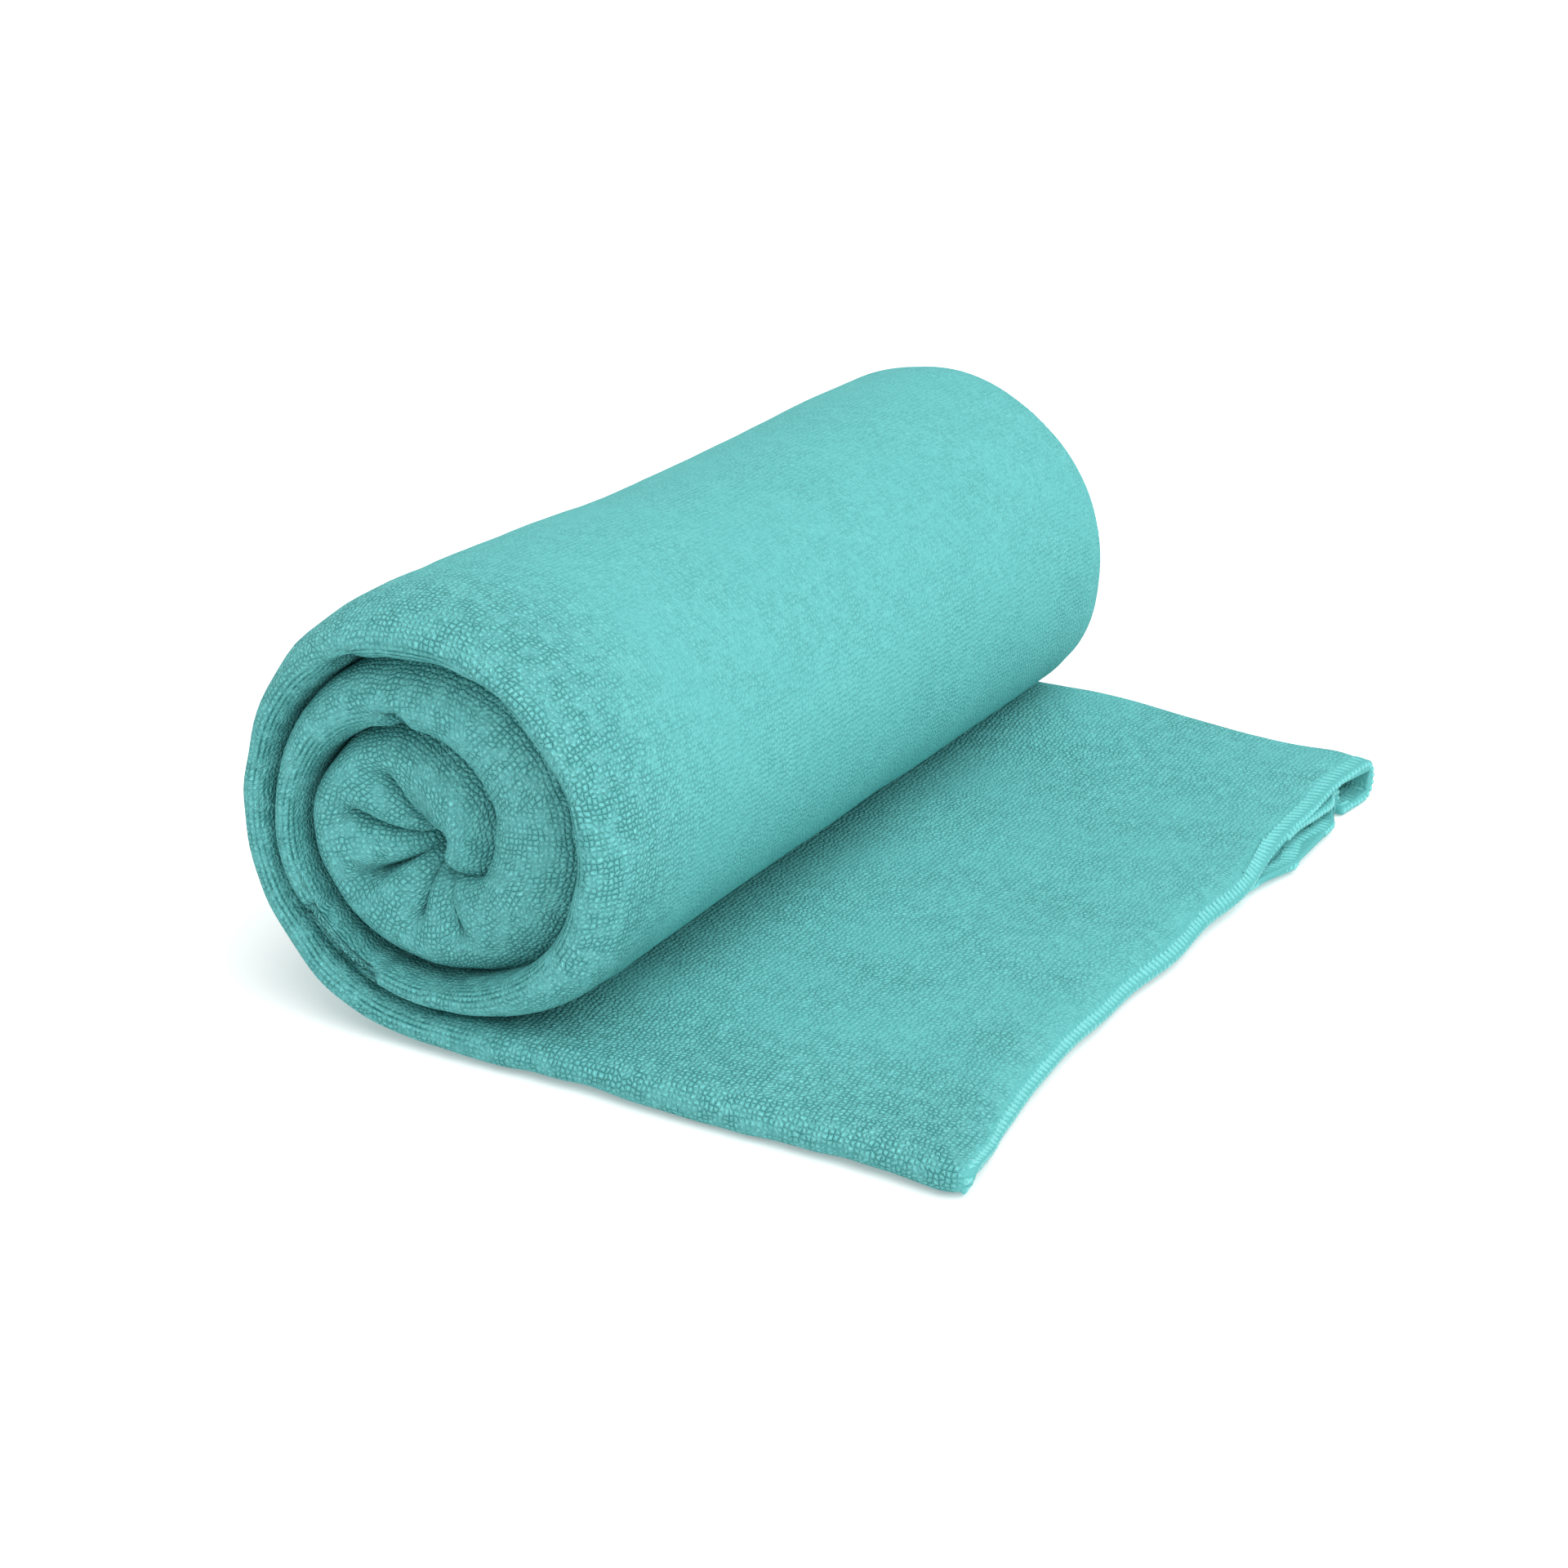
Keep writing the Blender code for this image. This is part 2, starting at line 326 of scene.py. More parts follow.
def curl(start_y, start_depth, radius, length, upwards, steps):
    """The end of a ply past a point: round an arc and then straight back, as (across, depth)."""
    run = np.linspace(0, 1, steps + 1)[1:] * length
    turned = np.minimum(run / radius, np.pi)
    back = np.maximum(run - np.pi * radius, 0.0)
    y = start_y + radius * np.sin(turned) - back
    depth = start_depth + upwards * radius * (1 - np.cos(turned))
    return y, depth


def section(winding):
    """The cloth's middle line across one station, from the upper ply's hem round to the lower ply's.

    Returns across, depth and which ply it is on, from 1 on the upper to 0 on the lower.
    """
    tucked = 1 - smooth(-0.05, 0.32, winding)
    fold_y, fold_depth, fold_share = near_fold(winding, FOLD_STEPS)
    upper_length = mix(FLAT_MARGIN, UPPER_MARGIN, tucked)
    lower_length = mix(FLAT_MARGIN, LOWER_MARGIN, tucked)
    far_inset = 0.0014 * (1 - smooth(0.0, 0.2, winding)) + 0.0018 * smooth(-0.35, -1.0, winding)
    upper_end = FAR_Y - far_inset - UPPER_CURL_RADIUS * tucked - PLY / 2
    upper_end -= 0.0006 * np.sin(2 * np.pi * 2.3 * winding)
    lower_end = FAR_Y - far_inset - (LOWER_SET_BACK + LOWER_CURL_RADIUS) * tucked - PLY / 2
    lower_end -= 0.0008 * np.sin(2 * np.pi * 1.7 * winding)
    spacing = np.linspace(0, 1, FLAT_STEPS) ** 1.35
    upper_y = mix(fold_y[-1], upper_end, spacing)
    lower_y = mix(fold_y[0], lower_end, spacing)
    margin = 0.0030 + 0.0024 * smooth(-0.75, -0.25, winding)
    raised = margin * tucked * smooth(FAR_Y - 0.055, FAR_Y - 0.018, upper_y)
    upper_depth = strip_depth(winding, upper_y) - PLY / 2 + raised
    lower_depth = np.full(FLAT_STEPS, PLY / 2)
    upper = curl(upper_y[-1], upper_depth[-1], UPPER_CURL_RADIUS, upper_length, -1, UPPER_CURL_STEPS)
    lower = curl(lower_y[-1], lower_depth[-1], LOWER_CURL_RADIUS, lower_length, 1, LOWER_CURL_STEPS)
    across = [upper[0][::-1], upper_y[::-1], fold_y[::-1][1:-1], lower_y, lower[0]]
    depth = [upper[1][::-1], upper_depth[::-1], fold_depth[::-1][1:-1], lower_depth, lower[1]]
    across, depth = np.concatenate(across), np.concatenate(depth)
    tuck = 0.85 * smooth(0.20, 0.5, np.linspace(0, 1, LOWER_CURL_STEPS))
    on_upper, on_lower = np.ones(UPPER_CURL_STEPS + FLAT_STEPS), np.zeros(FLAT_STEPS)
    top = np.concatenate([on_upper, fold_share[::-1][1:-1], on_lower, tuck])
    if winding < 0:
        depth = mix(depth, drooped(winding, across, depth), top)
    return across, depth, top


def stations():
    """Windings along the run: close together where the cloth shows, wide apart deep inside."""
    edge = [-1.0, -0.9978, -0.9935, -0.9870, -0.9780, -0.9670]
    loose = list(np.linspace(-0.954, -0.02, 66))
    outer = list(np.linspace(0.0, 1.0, 108, endpoint=False))
    second = list(np.linspace(1.0, 1.9, 86, endpoint=False))
    middle = list(np.linspace(1.9, 3.0, 130, endpoint=False))
    inner = list(np.linspace(3.0, TURNS, 40))
    return np.array(edge + loose + outer + second + middle + inner)


def soft_noise(points, scale, seed):
    """Smooth noise from -1 to 1 at each point, with waves of about the scale given."""
    shift = Vector((seed * 7.31, seed * 3.17, seed * 5.77))
    flat = points.reshape(-1, 3) / scale
    values = [noise.noise(Vector(point) + shift) for point in flat.tolist()]
    return np.array(values).reshape(points.shape[:-1])


def surface_normals(middle):
    """Which way is out at each point of the middle surface."""
    along = np.gradient(middle, axis=0)
    over = np.gradient(middle, axis=1)
    normal = np.cross(along, over)
    return normal / (np.linalg.norm(normal, axis=2, keepdims=True) + 1e-12)


def folded_cloth():
    """Middle surface, normals and ply of the cloth as grids of stations by section points."""
    windings = stations()
    middles = []
    plies = []
    for winding in windings:
        across, depth, top = section(winding)
        middles.append(place(winding, across, depth, top))
        plies.append(top)
    middle = np.array(middles)
    normal = surface_normals(middle)
    near = (1 - smooth(0.010, 0.050, middle[..., 1] - NEAR_Y))[..., None]
    broad = soft_noise(middle, 0.030, 1)[..., None]
    lumps = soft_noise(middle, 0.009, 2)[..., None]
    on_roll = smooth(-0.1, 0.2, windings)[:, None, None]
    swell = mix(0.0011, 0.0006, on_roll) * broad + mix(0.00012, 0.00045, near) * lumps
    middle = middle + normal * swell
    return windings, middle, surface_normals(middle), np.array(plies)


def weave_of(skin, windings, crest, base):
    """Each face row's place on the cloth, at its two stations: the run along it and the place across it.

    The cloth is gathered where it is wound, so the run is followed afresh in each eighth of a turn,
    from the run of the outer face: the loops then keep their size, and the breaks lie in the gathers.
    """
    steps = np.linalg.norm(np.diff(skin, axis=0), axis=2)
    over = np.zeros(skin.shape[:2])
    over[:, 1:] = np.cumsum(np.linalg.norm(np.diff(skin, axis=1), axis=2), axis=1)
    over -= over[:, crest:crest + 1]
    run = np.zeros(skin.shape[:2])
    run[1:] = np.cumsum(steps, axis=0)
    middles = (windings[:-1] + windings[1:]) / 2
    sector = np.where(middles < 0.06, 0, np.floor((middles - 0.06) * 8) + 1).astype(int)
    rows = np.arange(len(middles))
    starts = [np.median(rows[sector == value]) for value in range(sector.max() + 1)]
    start = np.array(starts).astype(int)[sector]
    local = run[start, base][:, None]
    first = local + run[:-1] - run[start]
    second = local + run[1:] - run[start]
    first_pairs = np.stack([first, over[:-1]], axis=2)
    second_pairs = np.stack([second, over[1:]], axis=2)
    return np.stack([first_pairs, second_pairs], axis=1)


def edge_distance(middle):
    """How far each point of the sheet is from the nearest of its loose edge and its two long edges."""
    along = np.zeros(middle.shape[:2])
    along[1:] = np.cumsum(np.linalg.norm(np.diff(middle, axis=0), axis=2), axis=0)
    over = np.zeros(middle.shape[:2])
    over[:, 1:] = np.cumsum(np.linalg.norm(np.diff(middle, axis=1), axis=2), axis=1)
    return np.minimum(along, np.minimum(over, over[:, -1:] - over))


def pile_of(windings, middle, plies, crest):
    """For each point: how plainly the loops show, how far they line up in rows, and a nought."""
    near = 1 - smooth(0.006, 0.042, middle[..., 1] - NEAR_Y)
    from_crest = middle[..., 1] - middle[:, crest:crest + 1, 1]
    loose = 1 - smooth(-0.20, 0.0, windings)[:, None]
    streaks = middle * (0.6, 1.0, 1.0) + middle[..., [1, 0, 2]] * (0.5, -0.3, 0.0)
    patches = 0.5 + 0.9 * soft_noise(streaks, 0.016, 5)
    # How plainly the loops show; in the material this also sets how dark the painted shade in the gaps
    # between them is
    show = np.clip(mix(0.32, 0.46, loose) + mix(0.20, 0.34, loose) * patches, 0.0, 1.0)
    show = mix(show, 1.0, near) * smooth(0.0028, 0.0050, edge_distance(middle))
    outer_turns = (1 - loose) * (1 - smooth(1.3, 1.6, windings)[:, None])
    inner_side = smooth(0.42, 0.60, plies) * (1 - smooth(0.008, 0.016, from_crest)) * outer_turns
    return np.stack([show, inner_side, np.zeros_like(show)], axis=2)


def cloth_mesh(name):
    """The sheet with its thickness: an outer skin, a coarser inner skin, and closed edges."""
    windings, middle, normal, plies = folded_cloth()
    count = middle.shape[1]
    distance = edge_distance(middle)
    hemmed = 0.62 + 0.38 * smooth(0.002, 0.009, distance)
    from_edge = np.clip(distance[:, count // 2] / 0.0012, 0.0, 1.0)
    rounding = np.sqrt(1 - (1 - from_edge) ** 2 * 0.85)
    half = PLY / 2 * (hemmed * rounding[:, None])[..., None]
    outer = middle + normal * half
    inner_picks = list(range(0, count - 1, 5)) + [count - 1]
    inner = (middle - normal * half)[:, inner_picks]
    sides = np.stack([middle[:, 0] - middle[:, 1], middle[:, -1] - middle[:, -2]], axis=1)
    sides /= np.linalg.norm(sides, axis=2, keepdims=True) + 1e-12
    tips = middle[:, [0, -1]] + sides * half[:, [0, -1]] * 0.8
    rings = np.concatenate([outer, tips[:, 1:], inner[:, ::-1], tips[:, :1]], axis=1)
    rings[..., 2] = np.maximum(rings[..., 2], 0.0)
    rows, ring = rings.shape[:2]
    row_starts = np.arange(rows - 1)[:, None] * ring
    around = np.arange(ring)[None, :]
    first = row_starts + around
    following = row_starts + (around + 1) % ring
    quads = np.stack([first, first + ring, following + ring, following], axis=2).reshape(-1, 4)
    faces = [tuple(quad) for quad in quads.tolist()]
    for row, turn in ((0, 1), (rows - 1, -1)):
        start = row * ring
        inner_start = start + count + 1
        inner_count = len(inner_picks)
        for k in range(inner_count - 1):
            outside = list(range(inner_picks[k], inner_picks[k + 1] + 1))
            inside = [inner_count - 1 - (k + 1), inner_count - 1 - k]
            face = [start + i for i in outside] + [inner_start + i for i in inside]
            faces.append(tuple(face[::turn]))
        faces.append(tuple([start + count - 1, start + count, inner_start][::turn]))
        faces.append(tuple([start + ring - 1, start, start + ring - 2][::turn]))
    mesh = bpy.data.meshes.new(name)
    mesh.from_pydata([tuple(point) for point in rings.reshape(-1, 3).tolist()], [], faces)
    mesh.update()
    made = bpy.data.objects.new(name, mesh)
    bpy.context.scene.collection.objects.link(made)
    crest = UPPER_CURL_STEPS + FLAT_STEPS + FOLD_STEPS // 2
    base = UPPER_CURL_STEPS + FLAT_STEPS + FOLD_STEPS - 2 + FLAT_STEPS // 2
    flow = weave_of(outer, windings, crest, base)
    ring_picks = list(range(count)) + [count - 1] + inner_picks[::-1] + [0]
    following_picks = ring_picks[1:] + ring_picks[:1]
    corners = np.stack([flow[:, 0][:, ring_picks], flow[:, 1][:, ring_picks],
                        flow[:, 1][:, following_picks], flow[:, 0][:, following_picks]], axis=2)
    corners = corners.reshape(-1, 2)
    layer = mesh.uv_layers.new(name="weave")
    values = np.zeros((len(mesh.loops), 2), np.float32)
    values[:len(corners)] = corners
    layer.data.foreach_set("uv", values.ravel())
    layer = mesh.attributes.new("pile", "FLOAT_VECTOR", "POINT")
    shown = pile_of(windings, middle, plies, crest)[:, ring_picks]
    layer.data.foreach_set("vector", shown.astype(np.float32).ravel())
    mesh.shade_smooth()
    return made, windings, middle, normal


# ---------------------------------------------------------------- materials

def node(tree, kind, **values):
    """A new node; a value whose name is one of its sockets sets that socket, or joins it to another."""
    made = tree.nodes.new(kind)
    for key, value in values.items():
        if hasattr(made, key):
            setattr(made, key, value)
            continue
        socket = made.inputs[int(key[1:])] if key[0] == "_" else made.inputs[key.replace("_", " ")]
        if isinstance(value, bpy.types.NodeSocket):
            tree.links.new(value, socket)
        else:
            socket.default_value = value
    return made


def sum_of(tree, operation, first, second):
    return node(tree, "ShaderNodeMath", operation=operation, _0=first, _1=second).outputs["Value"]


def ranged(tree, value, low, high, start=0.0, end=1.0):
    made = node(tree, "ShaderNodeMapRange", interpolation_type="SMOOTHSTEP", Value=value)
    made.inputs["From Min"].default_value = low
    made.inputs["From Max"].default_value = high
    made.inputs["To Min"].default_value = start
    made.inputs["To Max"].default_value = end
    return made.outputs["Result"]


def noise_of(tree, vector, scale, detail=2.0, roughness=0.5):
    made = node(tree, "ShaderNodeTexNoise", Vector=vector, Scale=scale, Detail=detail,
                Roughness=roughness)
    return made.outputs["Fac"]


def fibre_group():
    """A node group for the fine fibres that both the pile and the thread show."""
    tree = bpy.data.node_groups.new("fine fibres", "ShaderNodeTree")
    tree.interface.new_socket("Place", in_out="INPUT", socket_type="NodeSocketVector")
    tree.interface.new_socket("Fineness", in_out="INPUT", socket_type="NodeSocketFloat")
    tree.interface.new_socket("Fibres", in_out="OUTPUT", socket_type="NodeSocketFloat")
    given = tree.nodes.new("NodeGroupInput").outputs
    out = tree.nodes.new("NodeGroupOutput")
    fibres = noise_of(tree, given["Place"], given["Fineness"], 2.0, 0.6)
    tree.links.new(fibres, out.inputs["Fibres"])
    return tree


def fibres_of(tree, fibres, vector, fineness):
    made = node(tree, "ShaderNodeGroup", node_tree=fibres, Place=vector, Fineness=fineness)
    return made.outputs["Fibres"]


def tinted(tree, factor, first, second):
    """The first colour where the factor is 0, and the second where it is 1."""
    made = node(tree, "ShaderNodeMix", data_type="RGBA")
    sockets = {item.identifier: item for item in made.inputs}
    tree.links.new(factor, sockets["Factor_Float"])
    for socket, value in ((sockets["A_Color"], first), (sockets["B_Color"], second)):
        if isinstance(value, bpy.types.NodeSocket):
            tree.links.new(value, socket)
        else:
            socket.default_value = value
    return next(item for item in made.outputs if item.identifier == "Result_Color")


def terry_material(name, fibres):
    """Microfibre terry: small loops in rows, packed tight, that fade to velvet where brushed, with
    painted shade in the gaps between the loops and on their low tufts.
    """
    made = bpy.data.materials.new(name)
    made.use_nodes = True
    tree = made.node_tree
    shader = tree.nodes["Principled BSDF"]
    shader.inputs["Roughness"].default_value = 0.95
    shader.inputs["Specular IOR Level"].default_value = 0.12
    shader.inputs["Sheen Weight"].default_value = 0.20
    shader.inputs["Sheen Roughness"].default_value = 0.45
    shader.inputs["Sheen Tint"].default_value = SHEEN
    weave = node(tree, "ShaderNodeUVMap", uv_map="weave").outputs["UV"]
    pile_values = node(tree, "ShaderNodeAttribute", attribute_name="pile").outputs["Vector"]
    pile = node(tree, "ShaderNodeSeparateXYZ", Vector=pile_values)
    place_in = node(tree, "ShaderNodeTexCoord").outputs["Object"]
    scaled = node(tree, "ShaderNodeVectorMath", operation="SCALE", _0=weave, Scale=1 / NUB_PITCH)
    grid = scaled.outputs["Vector"]
    across = node(tree, "ShaderNodeSeparateXYZ", Vector=grid).outputs["Y"]
    off_row = sum_of(tree, "SUBTRACT", across, sum_of(tree, "ROUND", across, 0.0))
    wander = node(tree, "ShaderNodeTexNoise", Vector=place_in, Scale=WANDER, Detail=1.0)
    wander_by = node(tree, "ShaderNodeVectorMath", operation="MULTIPLY_ADD",
                     _0=wander.outputs["Color"], _1=(0.8, 0.8, 0.0), _2=(-0.40, -0.40, 0.0))
    cells_at = node(tree, "ShaderNodeVectorMath", operation="ADD", _0=grid,
                    _1=wander_by.outputs["Vector"])
    cells = node(tree, "ShaderNodeTexVoronoi", voronoi_dimensions="2D", feature="DISTANCE_TO_EDGE",
                 Vector=cells_at.outputs["Vector"], Scale=1.0, Randomness=0.5)
    domes = ranged(tree, cells.outputs["Distance"], -0.04, 0.46)
    loops = ranged(tree, cells.outputs["Distance"], -0.07, 0.18)
    rows = ranged(tree, sum_of(tree, "ABSOLUTE", off_row, 0.0), 0.5, 0.12)
    lined = sum_of(tree, "MULTIPLY", pile.outputs["Y"], 0.60)
    unlined = sum_of(tree, "MULTIPLY", loops, sum_of(tree, "SUBTRACT", 1.0, lined))
    loops = sum_of(tree, "ADD", unlined, sum_of(tree, "MULTIPLY", rows, lined))
    fibre = fibres_of(tree, fibres, place_in, PILE_FIBRES)
    tufts = noise_of(tree, place_in, TUFTS, 2.0, 0.6)
    drift = noise_of(tree, place_in, DRIFTS, 3.0, 0.55)
    show = pile.outputs["X"]
    # How deep the painted shade in the gaps is: more where the pile parts and where the loops show
    # plainly
    parted_shade = ranged(tree, noise_of(tree, place_in, PARTINGS, 1.0), 0.36, 0.60)
    parted_shade = sum_of(tree, "MULTIPLY", parted_shade, 0.80)
    parted_shade = sum_of(tree, "ADD", parted_shade, sum_of(tree, "MULTIPLY", show, 0.40))
    parted_shade = sum_of(tree, "MULTIPLY", show, parted_shade)
    # Painted shade: the gaps between the loops are coloured dark
    gap_shading = sum_of(tree, "MULTIPLY", sum_of(tree, "SUBTRACT", 1.0, loops), parted_shade)
    lit = tinted(tree, ranged(tree, drift, 0.30, 0.70), LOOPS_DEEP, LOOPS_PALE)
    # Painted shade: the loops are coloured darker where the tufts' noise is low, which is where the bump
    # sinks
    lit = tinted(tree, ranged(tree, tufts, 0.30, 0.75), LOOPS_SHADED, lit)
    lit = tinted(tree, show, VELVET, lit)
    # The painted gap shade is laid over the loops' colour
    colour = tinted(tree, gap_shading, lit, GAP_SHADE)
    tree.links.new(colour, shader.inputs["Base Color"])
    height = sum_of(tree, "MULTIPLY", sum_of(tree, "MULTIPLY", domes, show), LOOP_HEIGHT)
    height = sum_of(tree, "ADD", height, sum_of(tree, "MULTIPLY", tufts, TUFT_HEIGHT))
    height = sum_of(tree, "ADD", height, sum_of(tree, "MULTIPLY", fibre, FIBRE_HEIGHT))
    bump = node(tree, "ShaderNodeBump", Strength=1.0, Distance=1.0, Height=height)
    tree.links.new(bump.outputs["Normal"], shader.inputs["Normal"])
    return made


def thread_material(name, fibres):
    """The overlock's textured thread: paler than the pile, with fine strands."""
    made = bpy.data.materials.new(name)
    made.use_nodes = True
    tree = made.node_tree
    shader = tree.nodes["Principled BSDF"]
    shader.inputs["Roughness"].default_value = 0.75
    shader.inputs["Specular IOR Level"].default_value = 0.25
    shader.inputs["Sheen Weight"].default_value = 0.15
    place_in = node(tree, "ShaderNodeTexCoord").outputs["Object"]
    strands = fibres_of(tree, fibres, place_in, THREAD_FIBRES)
    colour = tinted(tree, ranged(tree, strands, 0.30, 0.70), THREAD_DEEP, THREAD_PALE)
    tree.links.new(colour, shader.inputs["Base Color"])
    bump = node(tree, "ShaderNodeBump", Strength=0.6, Distance=STRAND_HEIGHT, Height=strands)
    tree.links.new(bump.outputs["Normal"], shader.inputs["Normal"])
    return made


# ---------------------------------------------------------------- the overlocked edges

def stitch_tree(name):
    """Geometry nodes that set one overlock stitch, wrapped over the cloth's edge, on each seam point."""
    tree = bpy.data.node_groups.new(name, "GeometryNodeTree")
    tree.interface.new_socket("Seam", in_out="INPUT", socket_type="NodeSocketGeometry")
    for label in ("Bite", "Over Edge", "Height", "Slant", "Thread Radius"):
        tree.interface.new_socket(label, in_out="INPUT", socket_type="NodeSocketFloat")
    tree.interface.new_socket("Thread", in_out="INPUT", socket_type="NodeSocketMaterial")
    tree.interface.new_socket("Stitches", in_out="OUTPUT", socket_type="NodeSocketGeometry")
    given = tree.nodes.new("NodeGroupInput").outputs
    back = sum_of(tree, "MULTIPLY", given["Bite"], -1.0)
    under = sum_of(tree, "MULTIPLY", given["Height"], -1.0)
    aside = sum_of(tree, "MULTIPLY", given["Slant"], -1.0)
    ends = {}
    for label, x, y, z in (("Start", back, given["Slant"], given["Height"]),
                           ("Start Handle", given["Over Edge"], given["Slant"], given["Height"]),
                           ("End Handle", given["Over Edge"], aside, under),
                           ("End", back, aside, under)):
        ends[label] = node(tree, "ShaderNodeCombineXYZ", X=x, Y=y, Z=z).outputs["Vector"]
    loop = node(tree, "GeometryNodeCurvePrimitiveBezierSegment", Resolution=7)
    for label, value in ends.items():
        tree.links.new(value, loop.inputs[label])
    ring = node(tree, "GeometryNodeCurvePrimitiveCircle", Resolution=5, Radius=given["Thread Radius"])
    stitch = node(tree, "GeometryNodeCurveToMesh", Curve=loop.outputs["Curve"])
    tree.links.new(ring.outputs["Curve"], stitch.inputs["Profile Curve"])
    stitch.inputs["Fill Caps"].default_value = True
    turn = None
    for label, axis in (("out", "X"), ("up", "Z")):
        seen = node(tree, "GeometryNodeInputNamedAttribute", data_type="FLOAT_VECTOR", Name=label)
        aligned = node(tree, "FunctionNodeAlignRotationToVector", axis=axis,
                       Vector=seen.outputs["Attribute"])
        if turn is not None:
            aligned.pivot_axis = "X"
            tree.links.new(turn, aligned.inputs["Rotation"])
        turn = aligned.outputs["Rotation"]
    size = node(tree, "FunctionNodeRandomValue", data_type="FLOAT", Seed=4)
    smallest, largest = size.inputs[2], size.inputs[3]
    smallest.default_value = 0.93
    largest.default_value = 1.07
    set_on = node(tree, "GeometryNodeInstanceOnPoints", Points=given["Seam"],
                  Instance=stitch.outputs["Mesh"], Rotation=turn)
    tree.links.new(size.outputs[1], set_on.inputs["Scale"])
    real = node(tree, "GeometryNodeRealizeInstances", Geometry=set_on.outputs["Instances"])
    smoothed = node(tree, "GeometryNodeSetShadeSmooth", Geometry=real.outputs["Geometry"])
    finished = node(tree, "GeometryNodeSetMaterial", Geometry=smoothed.outputs["Geometry"],
                    Material=given["Thread"])
    out = tree.nodes.new("NodeGroupOutput")
    tree.links.new(finished.outputs["Geometry"], out.inputs["Stitches"])
    return tree


def overlock(name, tree, seams, thread):
    """Stitches at an even pitch along each seam, given as (points, outward directions, normals)."""
    places, outs, ups = [], [], []
    for points, outward, normal in seams:
        steps = np.linalg.norm(np.diff(points, axis=0), axis=1)
        run = np.concatenate([[0.0], np.cumsum(steps)])
        at = np.arange(STITCH_PITCH / 2, run[-1], STITCH_PITCH)
        for values, kept in ((points, places), (outward, outs), (normal, ups)):
            spread = [np.interp(at, run, values[:, axis]) for axis in range(3)]
            kept.append(np.stack(spread, axis=1))
    mesh = bpy.data.meshes.new(name + " seam")
    mesh.from_pydata(np.concatenate(places).tolist(), [], [])
    for label, kept in (("out", outs), ("up", ups)):
        layer = mesh.attributes.new(label, "FLOAT_VECTOR", "POINT")
        layer.data.foreach_set("vector", np.concatenate(kept).astype(np.float32).ravel())
    seam = bpy.data.objects.new(name + " seam", mesh)
    bpy.context.scene.collection.objects.link(seam)
    modifier = seam.modifiers.new("stitches", "NODES")
    modifier.node_group = tree
    sizes = {"Bite": HEM_WIDTH, "Over Edge": STITCH_OUT, "Height": STITCH_HEIGHT,
             "Slant": STITCH_SLANT, "Thread Radius": THREAD_RADIUS, "Thread": thread}
    for item in tree.interface.items_tree:
        if item.in_out == "INPUT" and item.name in sizes:
            modifier[item.identifier] = sizes[item.name]
    graph = bpy.context.evaluated_depsgraph_get()
    graph.update()
    stitched = bpy.data.meshes.new_from_object(seam.evaluated_get(graph))
    made = bpy.data.objects.new(name, stitched)
    bpy.context.scene.collection.objects.link(made)
    bpy.data.objects.remove(seam)
    return made


# ---------------------------------------------------------------- the stage

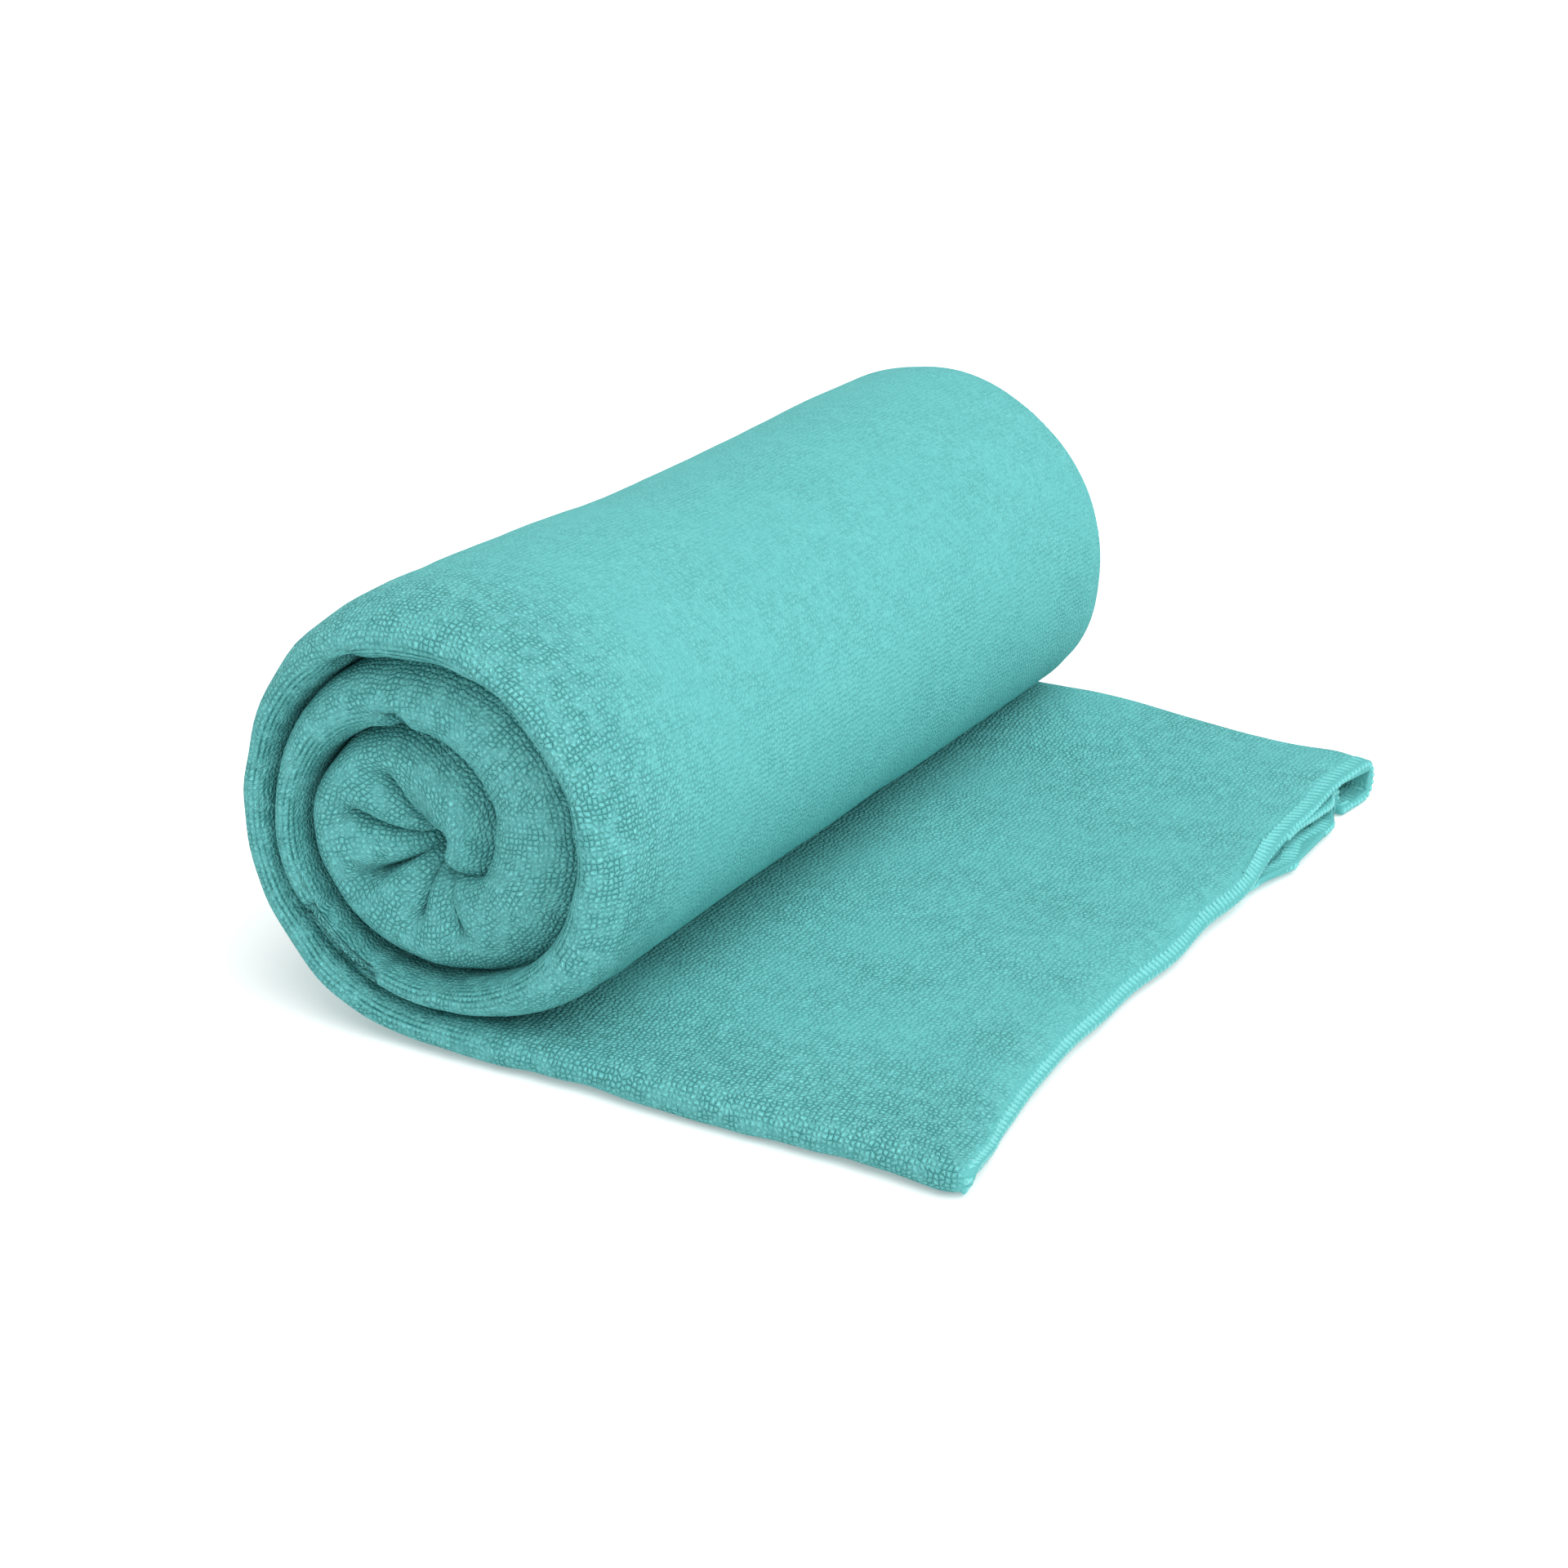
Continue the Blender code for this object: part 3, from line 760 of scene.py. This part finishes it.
def make_stage():
    """A pale floor under soft, even light from overhead."""
    mesh = bpy.data.meshes.new("floor")
    side = FLOOR_HALF_SIDE
    corners = [(-side, -side, 0), (side, -side, 0), (side, side, 0), (-side, side, 0)]
    mesh.from_pydata(corners, [], [(0, 1, 2, 3)])
    floor = bpy.data.objects.new("floor", mesh)
    bpy.context.scene.collection.objects.link(floor)
    floor.location.z = -FLOOR_DROP
    pale = bpy.data.materials.new("pale floor")
    pale.use_nodes = True
    shader = pale.node_tree.nodes["Principled BSDF"]
    shader.inputs["Base Color"].default_value = FLOOR_GREY
    shader.inputs["Roughness"].default_value = 0.9
    shader.inputs["Specular IOR Level"].default_value = 0.1
    shader.inputs["Emission Color"].default_value = WHITE
    shader.inputs["Emission Strength"].default_value = FLOOR_GLOW
    mesh.materials.append(pale)
    world = bpy.data.worlds.new("studio")
    world.use_nodes = True
    background = world.node_tree.nodes["Background"]
    background.inputs["Color"].default_value = WHITE
    background.inputs["Strength"].default_value = ROOM_LIGHT
    bpy.context.scene.world = world
    data = bpy.data.lights.new("overhead light", "SUN")
    data.angle = LIGHT_SPREAD
    data.energy = LIGHT_STRENGTH
    sun = bpy.data.objects.new("overhead light", data)
    sun.rotation_euler = (-Vector(LIGHT_FROM)).to_track_quat("-Z", "Y").to_euler()
    bpy.context.scene.collection.objects.link(sun)
    bpy.context.scene.view_settings.view_transform = "Standard"


def make_camera():
    """Above and in front of the near end, to its right, looking a little past the roll's middle."""
    data = bpy.data.cameras.new("camera")
    data.sensor_width = 36.0
    data.lens = LENS
    made = bpy.data.objects.new("camera", data)
    made.location = Vector((AXIS_X, 0.0, 0.0)) + Vector(CAMERA_AT)
    aim = Vector((AXIS_X, 0.0, 0.0)) + Vector(CAMERA_AIM) - made.location
    made.rotation_euler = aim.to_track_quat("-Z", "Y").to_euler()
    bpy.context.scene.collection.objects.link(made)
    bpy.context.scene.camera = made


def directions(tips, inside):
    """Which way the cloth's edge faces at each tip, away from a point further inside."""
    away = tips - inside
    return away / (np.linalg.norm(away, axis=1, keepdims=True) + 1e-12)


def long_edges(windings, middle, normal):
    """The two long edges as (points, outward directions, normals), from just past the loose edge."""
    middle, normal = middle[2:], normal[2:]
    curled = (1 - smooth(0.10, 0.25, windings[2:]))[:, None]
    edges = []
    for tip, curl_in, flat_in, curl_side in ((0, 3, UPPER_CURL_STEPS + 1, 2),
                                             (-1, -4, -LOWER_CURL_STEPS - 2, -3)):
        inside = mix(middle[:, flat_in], middle[:, curl_in], curled)
        side = mix(normal[:, flat_in], normal[:, curl_side], curled)
        edges.append((middle[:, tip], directions(middle[:, tip], inside), side))
    return edges


def main():
    make_camera()
    make_stage()
    fibres = fibre_group()
    terry = terry_material("terry", fibres)
    thread = thread_material("overlock thread", fibres)
    cloth, windings, middle, normal = cloth_mesh("towel_cloth")
    cloth.data.materials.append(terry)
    stitches = stitch_tree("overlock stitch")
    end_seam = [(middle[0], directions(middle[0], middle[2]), normal[2])]
    end_overlock = overlock("loose_end_overlock", stitches, end_seam, thread)
    long_seams = long_edges(windings, middle, normal)
    long_overlock = overlock("long_edge_overlock", stitches, long_seams, thread)
    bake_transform(cloth)
    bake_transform(long_overlock)
    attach(end_overlock, "loose_end")
    hems = ("end_hem_top", "end_hem_bottom")
    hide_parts(*[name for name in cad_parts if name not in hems])
    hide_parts(*hems)


main()
